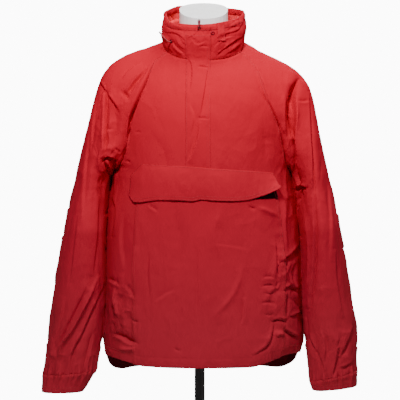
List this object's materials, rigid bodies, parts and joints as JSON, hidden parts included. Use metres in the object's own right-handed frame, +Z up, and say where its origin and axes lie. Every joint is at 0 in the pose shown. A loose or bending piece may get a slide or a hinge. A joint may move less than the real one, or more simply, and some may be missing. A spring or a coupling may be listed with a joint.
{
  "type": "anorak pullover on a dress form",
  "caption": "Raglan pullover anorak with a tall stand collar, half placket under a storm flap and a flapped pouch pocket, on a limbless dress form with a pole and a round base.",
  "frame": {"origin": "on the floor, at the base plate's underside, under the middle of the stand", "axes": "+Z up; the garment's front faces -Y; +X is to the right of someone who looks at the front"},
  "size_m": [0.727, 0.3016, 1.076],
  "materials": {
    "shell_cloth": "plain-woven nylon, slightly crumpled, soft sheen",
    "form_shell": "smooth white moulded shell",
    "stand_paint": "black satin powder coat",
    "cord": "round braided cord",
    "cord_tip": "moulded dark end tip",
    "eyelet_metal": "dark enamelled ring",
    "zip_metal": "dark red enamelled slider and pull"
  },
  "bodies": {
    "root": {"front_panel": "shell_cloth", "back_panel": "shell_cloth", "sleeve_left": "shell_cloth", "sleeve_right": "shell_cloth", "cuff_left": "shell_cloth", "cuff_right": "shell_cloth", "collar": "shell_cloth", "drawcord_casing": "shell_cloth", "collar_strap": "shell_cloth", "storm_flap": "shell_cloth", "pocket_flap": "shell_cloth", "pouch_pocket": "shell_cloth", "eyelet_cord": "eyelet_metal", "eyelet_front": "eyelet_metal", "drawcord_end": "cord", "drawcord_tip": "cord_tip", "zip_slider": "zip_metal", "form_torso": "form_shell", "pole": "stand_paint", "base": "stand_paint"},
    "pull": {"zip_pull": "zip_metal"}
  },
  "joints": [
    {"name": "zip_pull_hinge", "type": "hinge", "parent": "root", "child": "pull", "pos_m": [-0.0043, -0.0888, 1.0168], "axis": [1, 0, 0], "range_deg": [0, 145]}
  ]
}
